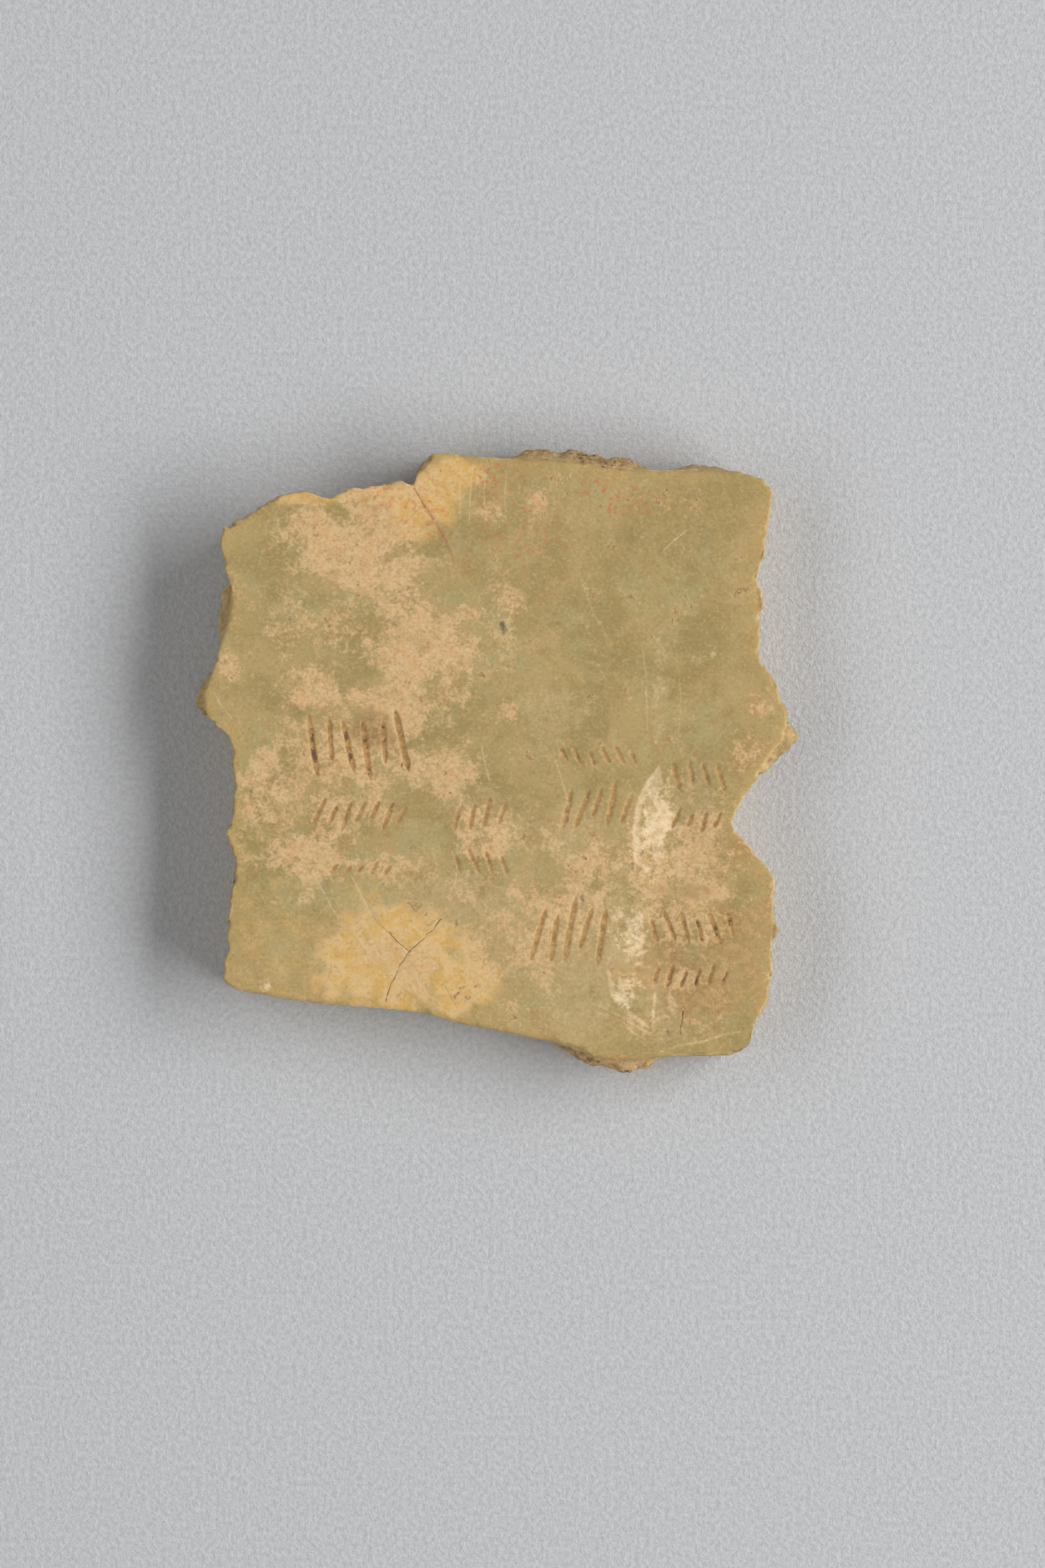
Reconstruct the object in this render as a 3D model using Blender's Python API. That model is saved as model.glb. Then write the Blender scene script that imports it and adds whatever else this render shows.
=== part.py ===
"""Inscribed jade fragment: a flat, polished piece broken off a larger plaque, lying with its inscribed face up.

Run it with: blender --background --python part.py
Frame: metres, +Z up, origin on the table under the middle of the fragment, +Y towards the upper worked edge.
One piece of stone is one solid, so the script makes one object. The wall is described from the middle outwards,
one column for each direction, so that its columns never cross. The face and the underside are triangulated over
what the wall encloses, and the inscription's cuts are held open in the face by their own edges.
"""

import math
from collections import namedtuple

import bmesh
import bpy
from mathutils import Vector, noise
from mathutils.geometry import delaunay_2d_cdt

MM = 0.001  # metres in a millimetre; every size below is in millimetres

# Driving dimensions
THICKNESS = 4.4
RIM_ROUND = 0.22  # how far the face's edge is rounded off
FOOT_ROUND = 0.45  # the same at the underside
COLUMN_STEP = 0.6  # distance between the wall's columns, along the rim
FACE_STEP = 1.6  # distance between the points of the inscribed face
UNDER_STEP = 2.4  # the same on the underside
JADE_COLOUR = (0.38, 0.31, 0.13, 1.0)
JADE_ROUGHNESS = 0.38

# The rim of the face, anticlockwise from the lower left corner, one run for each edge of the fragment.
LOWER_WORKED_EDGE = (
    (-17.3, -14.3), (-16.5, -14.55), (-14.5, -14.95), (-12.0, -15.3), (-9.0, -15.6), (-6.0, -15.87),
    (-4.0, -16.2), (-2.0, -16.75), (0.0, -17.1), (2.0, -17.55), (4.0, -17.92), (5.3, -18.3),
    (6.1, -18.82), (6.9, -19.0), (8.9, -18.97), (9.8, -18.82), (12.0, -18.72), (15.5, -18.72),
)
RIGHT_BREAK = (
    (15.95, -18.4), (16.25, -17.9), (16.38, -17.1), (16.6, -16.45), (17.25, -15.6), (17.42, -14.6),
    (17.6, -13.2), (17.55, -12.6), (17.65, -11.5), (17.92, -10.6), (17.7, -9.8), (17.68, -8.4),
    (17.5, -7.4), (17.1, -6.75), (16.2, -5.6), (15.85, -5.1), (15.4, -4.75), (14.98, -4.15),
    (15.1, -3.8), (15.5, -3.0), (15.9, -2.3), (16.4, -1.75), (16.75, -1.1), (16.95, -0.4),
    (17.4, 0.3), (18.1, 1.1), (18.45, 1.8), (18.75, 2.5), (18.65, 3.1), (18.2, 3.8), (17.9, 4.4),
    (17.6, 5.05), (17.1, 5.6), (16.87, 6.3), (16.8, 7.4), (16.87, 9.0), (16.8, 10.6), (16.62, 11.6),
    (16.8, 12.4), (17.2, 13.8), (17.4, 15.6), (17.5, 16.9), (17.35, 17.45), (16.9, 17.85), (16.35, 18.13),
)
UPPER_WORKED_EDGE = (
    (14.0, 18.25), (10.0, 18.3), (7.5, 18.38), (6.2, 18.6), (4.5, 18.86), (1.0, 19.02), (-1.5, 19.2),
    (-4.1, 19.45),
)
UPPER_LEFT_BREAK = (
    (-4.25, 19.05), (-4.75, 18.5), (-5.15, 18.1), (-5.4, 17.68), (-5.75, 17.75), (-6.1, 17.95),
    (-6.9, 17.78), (-7.4, 17.45), (-8.4, 17.3), (-9.4, 17.4), (-10.0, 17.12), (-10.6, 16.78),
    (-11.2, 16.78), (-11.9, 17.15), (-13.2, 17.05), (-13.9, 16.88), (-14.7, 16.25), (-15.3, 15.78),
    (-16.1, 15.38), (-17.1, 15.05), (-17.55, 14.6), (-17.73, 14.1),
)
LEFT_BREAK = (
    (-17.6, 13.5), (-17.45, 13.0), (-17.42, 12.3), (-17.1, 11.2), (-16.83, 10.4), (-16.95, 9.3),
    (-17.4, 7.8), (-17.85, 6.6), (-18.2, 5.4), (-18.6, 4.3), (-18.66, 3.4), (-18.45, 2.8),
    (-18.0, 2.3), (-17.5, 1.8), (-16.88, 1.1), (-16.98, 0.3), (-16.92, -0.9), (-16.7, -1.9),
    (-16.95, -2.9), (-17.0, -3.8), (-17.25, -4.6), (-17.2, -5.3), (-16.8, -6.0), (-16.72, -6.8),
    (-16.95, -8.2), (-16.95, -9.8), (-17.2, -10.4), (-17.1, -10.9), (-17.2, -11.5), (-17.02, -12.1),
    (-17.35, -12.8), (-17.4, -13.6),
)
RUNS = (  # (corners, broken)
    (LOWER_WORKED_EDGE, False),
    (RIGHT_BREAK, True),
    (UPPER_WORKED_EDGE, False),
    (UPPER_LEFT_BREAK, True),
    (LEFT_BREAK, True),
)
CHIP_REACH = 0.07  # how far small chips move a broken rim
CHIP_GRAIN = 1.3  # chips to the millimetre

# The wall, from the rim down. Each ring of it is at a share of the height between underside and face.
WALL_SHARES = (0.95, 0.87, 0.79, 0.64, 0.45, 0.27, 0.1)
BREAK_FALL = 0.5  # how far a broken wall falls back under the rim, on average
WORKED_FALL = 0.12
FALL_DEPTH = 1.2  # the depth by which it has fallen back
WALL_GRAIN = 0.3  # swells of the wall to the millimetre

# Where the wall stands out past the rim lower down, from first to last anticlockwise. Over first_ease and
# last_ease it fades in and out. It begins at the depth start, and is fully out at the depth full.
Ledge = namedtuple("Ledge", "first last reach first_ease last_ease start full rough")
LEDGES = (
    Ledge((16.3, -1.9), (18.85, 2.6), 1.05, 2.4, 1.0, 0.1, 1.5, 0.05),  # facet under the right hand point
    Ledge((15.1, 18.2), (11.2, 18.3), 0.38, 1.2, 0.8, 0.4, 0.8, 0.14),  # small crust, upper edge
    Ledge((9.9, 18.3), (1.05, 19.1), 0.6, 1.6, 0.15, 0.4, 0.8, 0.16),  # large crust, upper edge
    Ledge((-4.0, 19.45), (-5.45, 17.7), 0.35, 0.5, 0.5, 0.1, 1.0, 0.05),  # facet right of the notch
    Ledge((-17.5, 12.1), (-17.9, 6.2), 0.87, 1.2, 3.2, 0.15, 1.2, 0.08),  # lower lip of the left hand bay
    Ledge((-17.9, 6.8), (-18.3, 2.3), 0.5, 3.4, 0.6, 0.1, 1.1, 0.04),  # facet above the left hand point
    Ledge((3.4, -17.9), (10.0, -18.85), 0.66, 1.4, 0.35, 0.4, 0.9, 0.14),  # crust, lower edge
)
LEDGE_GRAIN = 0.8

# Shallow hollows. length and width are from the middle to the edge, and turn is in degrees.
Hollow = namedtuple("Hollow", "x y length width turn depth")
FACE_HOLLOWS = (
    Hollow(11.2, -3.9, 5.6, 2.7, 84.0, 0.3),
    Hollow(10.0, -13.2, 5.0, 3.2, 100.0, 0.34),
    Hollow(-7.4, 1.4, 4.2, 2.6, 100.0, 0.1),
)
UNDER_SPALLS = (
    Hollow(-17.0, 7.5, 5.5, 3.4, 80.0, 0.7),
    Hollow(17.0, 1.5, 6.0, 3.6, 95.0, 0.8),
    Hollow(-8.5, 16.6, 6.5, 3.0, 8.0, 0.6),
    Hollow(16.5, -13.5, 4.6, 3.2, 80.0, 0.5),
)
# Flakes off the face's edge. The face slopes away outside each line, which runs clockwise.
Flake = namedtuple("Flake", "first second slope")
FLAKES = (
    Flake((15.9, -17.45), (10.4, -18.35), 0.45),
    Flake((-7.5, 16.75), (-5.75, 17.3), 0.6),
    Flake((-10.7, 16.3), (-9.0, 16.8), 0.6),
)
FLAKE_EASE = 0.8  # how softly a flake begins and ends, along its line

# The inscription: where each sign was, there are rows of plain strokes. lean is in degrees from upright.
Row = namedtuple("Row", "x y width height count lean")
STROKE_ROWS = (
    Row(-8.8, 0.9, 5.6, 4.4, 6, -8.0),
    Row(-8.6, -3.4, 5.2, 2.2, 7, 24.0),
    Row(-1.1, -3.5, 2.8, 2.4, 4, 14.0),
    Row(-1.0, -6.5, 2.9, 1.9, 4, -20.0),
    Row(6.4, 0.2, 4.4, 1.5, 6, -28.0),
    Row(6.3, -2.9, 3.7, 3.2, 5, 17.0),
    Row(12.7, -1.0, 2.8, 2.1, 4, -14.0),
    Row(12.6, -3.8, 2.6, 1.6, 4, 22.0),
    Row(4.6, -10.9, 4.0, 4.6, 5, 12.0),
    Row(12.3, -10.6, 4.8, 2.5, 6, -16.0),
    Row(12.2, -13.7, 4.3, 1.7, 6, 18.0),
    Row(-8.6, -6.9, 3.4, 1.0, 5, 36.0),
)
STROKE_WIDTH_BASE = 0.26  # a stroke's width is this, and more the longer it is
STROKE_WIDTH_GAIN = 0.045
STROKE_DEPTH_RATIO = 0.55  # its depth, as a share of its width
STROKE_STATIONS = (0.0, 0.16, 0.84, 1.0)  # where along a stroke its section is set
STROKE_MARGIN = 0.45  # the face's own points keep this far from a stroke


def smooth(value):
    """0 to 1 with a soft start and end."""
    value = min(max(value, 0.0), 1.0)
    return value * value * (3.0 - 2.0 * value)


def angle_of(point):
    return math.atan2(point[1], point[0]) % math.tau


def along_curve(before, start, end, after, share):
    """The point this share of the way from start to end, on the smooth curve through all four."""
    before, start, end, after = (Vector(corner) for corner in (before, start, end, after))
    return 0.5 * (
        2.0 * start
        + (end - before) * share
        + (2.0 * before - 5.0 * start + 4.0 * end - after) * share**2
        + (3.0 * start - before - 3.0 * end + after) * share**3
    )


def rim_columns():
    """[(angle, radius, broken)] of the rim, anticlockwise."""
    corners = [(corner, broken) for run, broken in RUNS for corner in run]
    count = len(corners)
    columns = []
    for i, (corner, broken) in enumerate(corners):
        before, after, beyond = (corners[(i + k) % count][0] for k in (-1, 1, 2))
        steps = max(1, round((Vector(after) - Vector(corner)).length / COLUMN_STEP))
        for step in range(steps):
            point = along_curve(before, corner, after, beyond, step / steps)
            if broken:
                chip = noise.noise(point.to_3d() * CHIP_GRAIN)
                point += point.normalized() * CHIP_REACH * chip
            columns.append((angle_of(point), point.length, broken))
    columns.sort()
    return columns


def ledge_share(ledge, angle, radius):
    """How far out a ledge is in this direction, from 0 to 1."""
    first, last = angle_of(ledge.first), angle_of(ledge.last)
    along = (angle - first) % math.tau * radius
    length = (last - first) % math.tau * radius
    if along > length:
        return 0.0
    return smooth(along / ledge.first_ease) * smooth((length - along) / ledge.last_ease)


def stand_out(angle, radius, broken, depth):
    """How far the wall is outside the rim at this depth. It is negative where the wall falls back."""
    place = Vector((radius * math.cos(angle), radius * math.sin(angle), depth))
    fall = BREAK_FALL if broken else WORKED_FALL
    swell = max(0.0, 1.0 + 1.6 * noise.noise(place * WALL_GRAIN))
    out = -fall * swell * smooth(depth / FALL_DEPTH)
    for ledge in LEDGES:
        share = ledge_share(ledge, angle, radius) * smooth((depth - ledge.start) / (ledge.full - ledge.start))
        rough = ledge.rough * noise.noise(place * LEDGE_GRAIN)
        out += share * (ledge.reach + rough - out)
    return out


def hollow_depth(x, y, hollow):
    turn = math.radians(hollow.turn)
    offset = Vector((x - hollow.x, y - hollow.y))
    along = offset.dot(Vector((math.cos(turn), math.sin(turn)))) / hollow.length
    across = offset.dot(Vector((-math.sin(turn), math.cos(turn)))) / hollow.width
    return hollow.depth * max(0.0, 1.0 - along**2 - across**2) ** 1.5


def flake_depth(x, y, flake):
    """How far the face has dropped here outside a flake's line."""
    first, line = Vector(flake.first), Vector(flake.second) - Vector(flake.first)
    offset = Vector((x, y)) - first
    outside = line.normalized().cross(offset)
    along = line.normalized().dot(offset)
    ends = smooth(along / FLAKE_EASE) * smooth((line.length - along) / FLAKE_EASE)
    return flake.slope * max(0.0, outside) * ends


def stroke_ends():
    """[(lower end, upper end)] of every stroke of the inscription."""
    found = []
    for number, row in enumerate(STROKE_ROWS):
        for i in range(row.count):
            # Length, height and lean vary a little from stroke to stroke, as in cuts made by hand.
            length = row.height * (0.82 + 0.18 * math.cos(2.4 * i + number))
            lift = 0.08 * row.height * math.sin(1.7 * i + 2.0 * number)
            lean = math.radians(row.lean + 5.0 * math.sin(2.1 * i + number))
            across = row.width * (i / (row.count - 1) - 0.5)
            middle = Vector((row.x + across, row.y + lift))
            half = Vector((math.sin(lean), math.cos(lean))) * length / 2
            found.append((middle - half, middle + half))
    return found


def stroke_width(stroke, share):
    """Width of a stroke at this share of its length. It runs out to nothing at both ends."""
    length = (stroke[1] - stroke[0]).length
    taper = min(1.0, 2.6 * math.sqrt(max(0.0, share * (1.0 - share))))
    return taper * (STROKE_WIDTH_BASE + STROKE_WIDTH_GAIN * length)


def nearest_on(stroke, point):
    """(share of the stroke's length, distance from it) of the place on a stroke nearest to a point."""
    line = stroke[1] - stroke[0]
    share = min(max((point - stroke[0]).dot(line) / line.length_squared, 0.0), 1.0)
    return share, (point - stroke[0] - line * share).length


def stroke_depth(x, y, stroke):
    share, distance = nearest_on(stroke, Vector((x, y)))
    return STROKE_DEPTH_RATIO * max(0.0, stroke_width(stroke, share) - 2.0 * distance)


def stroke_outlines(strokes):
    """(points, edges) that hold each stroke's two lips and its bottom open in the face."""
    points, edges = [], []
    for stroke in strokes:
        line = stroke[1] - stroke[0]
        side = Vector((-line.y, line.x)).normalized()
        for offset in (-0.5, 0.0, 0.5):
            start = len(points)
            for share in STROKE_STATIONS:
                points.append(stroke[0] + line * share + side * offset * stroke_width(stroke, share))
            edges += [(k, k + 1) for k in range(start, len(points) - 1)]
    return points, edges


def grid_inside(columns, step):
    """Points of a triangular grid that are clear of the rim."""
    half = math.ceil(max(radius for _, radius, _ in columns) / step) + 1
    points = []
    for j in range(-half, half + 1):
        for i in range(-half, half + 1):
            point = Vector((i + 0.5 * (j % 2), j * math.sqrt(0.75))) * step
            turn = angle_of(point)
            nearest = min(columns, key=lambda column: abs((column[0] - turn + math.pi) % math.tau - math.pi))
            if point.length < nearest[1] - 0.7 * step:
                points.append(point)
    return points


def wall_ring(mesh, columns, share, inset, face, under):
    """One ring of vertices round the wall, at a share of the height from the underside to the face."""
    ring = []
    for angle, radius, broken in columns:
        out = radius - inset + stand_out(angle, radius, broken, THICKNESS * (1.0 - share))
        x, y = out * math.cos(angle), out * math.sin(angle)
        z = under(x, y) + (face(x, y) - under(x, y)) * share
        ring.append(mesh.verts.new((x, y, z)))
    return ring


def cap(mesh, ring, points, edges, height):
    """Triangulates what a ring of vertices encloses, at the height that a function gives."""
    count = len(ring)
    outline = [vertex.co.xy for vertex in ring]
    outline_edges = [(i, (i + 1) % count) for i in range(count)]
    inner_edges = [(a + count, b + count) for a, b in edges]
    flat, _, faces, origins, _, _ = delaunay_2d_cdt(outline + points, outline_edges + inner_edges, [], 1, 1e-4)
    vertices = []
    for point, origin in zip(flat, origins):
        if origin and min(origin) < count:
            vertices.append(ring[min(origin)])
        else:
            vertices.append(mesh.verts.new((point.x, point.y, height(point.x, point.y))))
    for corners in faces:
        mesh.faces.new([vertices[i] for i in corners])


def fragment_mesh():
    strokes = stroke_ends()

    def face(x, y):
        hollows = sum(hollow_depth(x, y, hollow) for hollow in FACE_HOLLOWS)
        flakes = sum(flake_depth(x, y, flake) for flake in FLAKES)
        return THICKNESS - hollows - flakes - max(stroke_depth(x, y, stroke) for stroke in strokes)

    def under(x, y):
        return sum(hollow_depth(x, y, spall) for spall in UNDER_SPALLS)

    columns = rim_columns()
    mesh = bmesh.new()
    rings = [wall_ring(mesh, columns, 1.0, RIM_ROUND, face, under)]
    rings += [wall_ring(mesh, columns, share, 0.0, face, under) for share in WALL_SHARES]
    rings.append(wall_ring(mesh, columns, 0.0, FOOT_ROUND, face, under))
    for upper, lower in zip(rings, rings[1:]):
        for i in range(len(columns)):
            mesh.faces.new((upper[i - 1], lower[i - 1], lower[i], upper[i]))

    points, edges = stroke_outlines(strokes)
    for flake in FLAKES:
        edges.append((len(points), len(points) + 1))
        points += [Vector(flake.first), Vector(flake.second)]
    for point in grid_inside(columns, FACE_STEP):
        if all(nearest_on(stroke, point)[1] > STROKE_MARGIN for stroke in strokes):
            points.append(point)
    cap(mesh, rings[0], points, edges, face)
    cap(mesh, rings[-1], grid_inside(columns, UNDER_STEP), [], under)
    bmesh.ops.recalc_face_normals(mesh, faces=mesh.faces)
    return mesh


def to_row_frame(mesh):
    """Puts the middle of the fragment's box over the origin, its underside at height 0, and turns it to metres."""
    low = [min(vertex.co[axis] for vertex in mesh.verts) for axis in range(3)]
    high = [max(vertex.co[axis] for vertex in mesh.verts) for axis in range(3)]
    middle = Vector(((low[0] + high[0]) / 2, (low[1] + high[1]) / 2, low[2]))
    for vertex in mesh.verts:
        vertex.co = (vertex.co - middle) * MM


def jade():
    material = bpy.data.materials.new("jade")
    material.use_nodes = True
    material.diffuse_color = JADE_COLOUR
    shader = material.node_tree.nodes["Principled BSDF"]
    shader.inputs["Base Color"].default_value = JADE_COLOUR
    shader.inputs["Roughness"].default_value = JADE_ROUGHNESS
    shader.inputs["Metallic"].default_value = 0.0
    return material


def main():
    for thing in list(bpy.data.objects):
        bpy.data.objects.remove(thing)
    shape = fragment_mesh()
    to_row_frame(shape)
    data = bpy.data.meshes.new("jade_fragment")
    shape.to_mesh(data)
    shape.free()
    data.shade_smooth()
    data.set_sharp_from_angle(angle=math.radians(30.0))
    data.materials.append(jade())
    fragment = bpy.data.objects.new("jade_fragment", data)
    bpy.context.scene.collection.objects.link(fragment)


main()
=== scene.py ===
"""The looks of the inscribed jade fragment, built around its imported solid.

One piece, jade_skin, stands for the solid. It is the solid's own surface at a finer pitch, with what the
solid is too coarse for: chipped rims, splintered breaks, the porous crust, soil-filled cuts and cracks.
Sizes and places are in millimetres in the row frame, unless a line says otherwise.
"""

import math
from collections import namedtuple
from functools import reduce
from itertools import starmap

import bmesh
import bpy
import numpy as np
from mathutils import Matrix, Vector, kdtree, noise
from mathutils.bvhtree import BVHTree
from mathutils.geometry import delaunay_2d_cdt


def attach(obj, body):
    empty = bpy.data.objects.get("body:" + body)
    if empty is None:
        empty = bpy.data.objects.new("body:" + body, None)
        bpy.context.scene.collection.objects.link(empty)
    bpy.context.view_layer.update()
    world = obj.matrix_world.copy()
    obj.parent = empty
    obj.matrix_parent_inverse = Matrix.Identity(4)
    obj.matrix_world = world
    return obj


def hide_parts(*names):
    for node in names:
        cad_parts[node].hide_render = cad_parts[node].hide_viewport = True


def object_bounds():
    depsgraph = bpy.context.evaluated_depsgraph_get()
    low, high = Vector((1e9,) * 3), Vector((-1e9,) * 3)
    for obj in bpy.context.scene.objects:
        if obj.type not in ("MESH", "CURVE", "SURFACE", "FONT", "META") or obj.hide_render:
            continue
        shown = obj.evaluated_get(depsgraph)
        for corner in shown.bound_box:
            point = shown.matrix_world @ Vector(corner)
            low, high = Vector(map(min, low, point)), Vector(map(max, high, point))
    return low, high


MM = 0.001
STONE = "jade_fragment"
NOISE_SEED = 7  # of noise_vector, which would otherwise start from the clock

# ------------------------------------------------ pitch of the skin
COLUMN_PITCH = 0.17  # between the columns of the edge, along the rim
EDGE_ROWS = 28  # from the face to the underside
EDGE_TOP_SHARE = 0.5  # the first rows' pitch, as a share of the mean
RIM_TURNS = 3600  # in so many directions the rim is read
RIM_DEPTH = 0.5  # so far below the face
EDGE_RAYS = 80
RAY_NUDGES = (0.0, 0.004, -0.004)  # a ray can slip between two faces, so it is sent again
PIVOT_INSET = 2.0  # the edge is read from a pivot this far inside the rim, at half height
FOOT_INSET = 0.8  # how far inside the rim the edge's last row lies
FACE_INSET = 0.38  # the same of its first row
NET_CLEAR = 0.1  # how far inside it the face's own points stay
FINE_PITCH = 0.1  # of the face, near its cuts
FINE_REACH = 0.42  # how near that is
DRAWN_REACH = 0.3  # the same, to a streak
LINE_CLEAR = 0.4  # how far the points stay from a line, as a share of the pitch
CREASE_ANGLE = math.radians(18.0)  # the strokes' lips and bottoms are sharper
UNDER_PITCH = 0.5
UNDER_CLEAR = 0.2

# The corners where worked edges end, anticlockwise from the lower left one. Elsewhere the rim is broken.
WORKED_EDGES = (((-17.3, -14.3), (15.6, -18.7)), ((16.2, 18.2), (-4.1, 19.4)))
WORKED_FADE = 0.8  # the length over which a worked edge turns into a break

# ------------------------------------------------ relief
# The noises: wavelength, octaves, seed.
COARSE = (1.1, 4, 3.0)
FINE = (0.32, 3, 7.0)
BITES = (0.55, 3, 11.0)
SPLINTERS = (0.8, 3, 15.0)
CRUST_LUMPS = (1.5, 3, 17.0)
CUT_FILL_NOISE = (1.3, 2, 21.0)
FACE_SWELL = (4.0, 2, 23.0)
FACE_RIPPLE = (1.1, 3, 25.0)
CRACK_NOISE = (0.9, 2, 27.0)
UNDER_NOISE = (3.0, 4, 31.0)
CHIP_NOISE = (0.9, 3, 33.0)
# The scattered pits and scars: pitch, seed.
CRUST_PITS = (0.42, 5.0)
LARGE_SCARS = (2.6, 9.0)
SMALL_SCARS = (1.0, 13.0)

FACET_ROUNDS = 2  # rounds of smoothing that take the facets off the solid's edge
END_SHARE = 0.08  # of the edge's rows, over which its relief fades in and out
BREAK_ROWS = (0.05, 0.14)  # of them, over which a break's look sets in below the face
BREAK_ROUGH = (0.05, 0.03)  # how far the coarse and the fine noise move it
CRUST_ROUGH = (0.07, 0.05)
WORKED_ROUGH = 0.012  # by the fine noise alone
SCAR_DEPTH = 0.45
SCAR_MEAN = 0.24  # without it the scars would move a break as a whole
SPLINTER_DEPTH = 0.3
SPLINTER_MEAN = 0.05
UPRIGHT = (1.0, 1.0, 0.5)  # stretches the splinters upright
RIM_SHARPEN = 0.09  # how far a broken rim stands past the solid's chamfer
CORNER_BELOW = (-0.32, -0.08)  # where that chamfer lies, from the face and from the rim
CORNER_INSIDE = (-0.3, -0.1)
WORKED_KEEN = 0.75  # how much less a worked rim is sharpened
BITE_DEPTH = 0.2  # of the small flakes that are off a broken rim
WORKED_BITE_DEPTH = 0.05
BITE_ROWS = (0.12, 0.4)
PIT_DEPTH = 0.17  # of the crust
CRUST_STAND = 0.12  # a worked edge that stands out this far past the rim is crust
CRUST_WEAR = 14  # rounds of smoothing that wear the ends of the crust
SPREAD_ROUNDS = 60  # the same, for how far soil like the crust's lies about it
CRUST_SPREAD = 1.3
# The line of the chip off the rim, anticlockwise with the chip on its right.
CHIP = ((9.2, -18.75), (11.0, -18.05), (13.0, -17.75), (13.7, -17.35), (15.4, -17.1), (16.3, -16.7))
CHIP_SLOPE = 0.4  # how steeply the stone slopes away there
CHIP_FADE = 0.06  # of the line, over which the chip begins and ends
CUT_STEEP = 0.2  # only the strokes' flanks are this steep on the face
CUT_WOBBLE = 0.045  # how unsteady the hand was that cut the strokes
WOBBLE_LENGTH = 0.6
CUT_NARROWED = 0.03
CUT_TAIL = 0.5  # how gently a cut runs out to its right
CUT_FILL = 0.055  # soil lets no more than this of their depth show
FACE_ROUNDS = 60  # rounds of smoothing that take the facets off the face
INNER_ROUNDS = 8  # the same, for how its unevenness sets in at the rim
STAIN_ROUNDS = 14  # the same, for how far soil stains the stone about a cut
SWELL_DEPTH = 0.02
RIPPLE_DEPTH = 0.005
UNDER_DEPTH = 0.05  # of the unevenness of the underside
FLAKE_STEEP = 0.04  # the solid's flakes are steeper, and stay
LEAST_CUT = 0.01  # of a cut's depth
CRACK_WIDTH = 0.1
CRACK_DEPTH = 0.035
CRACK_PITCH = 0.12  # of the points along a crack
CRACK_JOG = 0.12  # how far its jogs go aside
CRACK_JOGS = 1.7  # to the millimetre, roughly
CRACKS = (
    ((-7.1, -15.6), (-6.72, -14.1), (-6.42, -13.7), (-6.12, -12.8), (-5.5, -12.05)),
    ((-5.5, -12.05), (-6.2, -11.5), (-6.9, -10.8)),
    ((-5.5, -12.05), (-4.9, -11.5), (-4.3, -10.9), (-3.5, -10.0)),
    ((-5.4, 17.4), (-5.05, 16.9), (-4.8, 16.35), (-4.5, 15.9)),
    ((11.75, -15.8), (11.65, -16.5), (11.55, -17.2)),
)

# ------------------------------------------------ studio, in metres, degrees and watts
FLOOR_HALF = 2.0
CAMERA_HEIGHT = 0.6  # above the face
VIEW_HEIGHT = 0.09878  # what the image's long side spans at the face
VIEW_SHIFT = (0.0016, -0.0015)  # of the camera from the middle of the stone
SENSOR = 36.0
WORLD_STRENGTH = 0.128
STUDIO_LEVEL = 0.82  # what the lights give a level, matt, white surface
# Each light's name, azimuth from +X, elevation, distance, width, height and power.
LIGHTS = (("key", 0.0, 32.0, 0.9, 1.2, 0.36, 10.6), ("fill", 180.0, 40.0, 0.9, 1.2, 0.4, 2.89))

# ------------------------------------------------ colours, as sRGB from 0 to 255. A noise mixes a pair.
OLIVE = ((160, 140, 92), (179, 155, 106))
GREEN_OLIVE = (172, 158, 111)
BROWN_OLIVE = (165, 136, 84)
PALE_OLIVE = (190, 167, 118)
# painted light: the rim band, yellower where light comes through the stone
RIM_GLOW_OLIVE = (184, 156, 100)
# the darker olive areas, and painted shade on the sloping facet of the chip off the lower rim
DEEP_OLIVE_AND_CHIP_SHADE = ((152, 132, 84), (168, 146, 98))
LIGHT_OLIVE = ((182, 158, 112), (192, 168, 122))
AMBER = ((213, 171, 98), (221, 187, 132))
TAN = ((168, 133, 84), (190, 156, 106))
CREAM = ((199, 164, 116), (214, 184, 138))
CREAM_BLUSH = (213, 169, 122)
CREAM_GRAIN = (228, 199, 154)
CREAM_SHADE = (186, 152, 106)
SMUDGE = (146, 118, 88)
BROWN = ((138, 106, 68), (164, 130, 88))
# the pale areas: whitish altered stone under a painted sheen
PEARL_AND_SHEEN = ((218, 190, 148), (234, 209, 171))
# painted sheen and highlight lines
SHEEN_HIGHLIGHT = ((230, 203, 162), (240, 220, 186))
RED = (202, 106, 62)
GREY = (92, 86, 82)
# a painted highlight along the rim
RIM_HIGHLIGHT = (224, 200, 152)
TORN = ((126, 104, 70), (170, 144, 102))
# on the breaks: whitish splinters with painted highlights on their ridges, and painted shade between them
SPLINTER_PALE_AND_HIGHLIGHT = (192, 168, 126)
SPLINTER_SHADE = (104, 84, 54)
EARTH = ((158, 126, 88), (198, 164, 118))
TAN_EARTH = ((184, 148, 102), (214, 178, 130))
CRUMB = (214, 186, 142)
# painted shade in the crust's hollows
HOLLOW_SHADE = (104, 78, 52)
LIGHT_SOIL = ((168, 128, 76), (188, 150, 98))
DARK_SOIL = ((150, 110, 62), (178, 138, 86))
RESIDUE = (78, 66, 56)
CRACK = ((132, 108, 80), (78, 62, 50))
RED_CRACK = (176, 112, 76)
VEIN = (150, 104, 78)
SCRATCH = (228, 206, 164)
PIT = (134, 102, 62)
FLECK = (122, 98, 82)
LIGHT_GRAIN = (212, 186, 140)
DARK_GRAIN = (130, 106, 70)
PAPER = ((183, 184, 186), (202, 203, 205))
YELLOW_GLAZE = (1.0, 0.987, 0.966, 1.0)  # what it lets through of red, green and blue, from 0 to 1
ROUGHNESS = 0.56
BUMP = 0.014  # of the fine relief that only the material shows
PAPER_BUMP = 0.2

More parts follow.
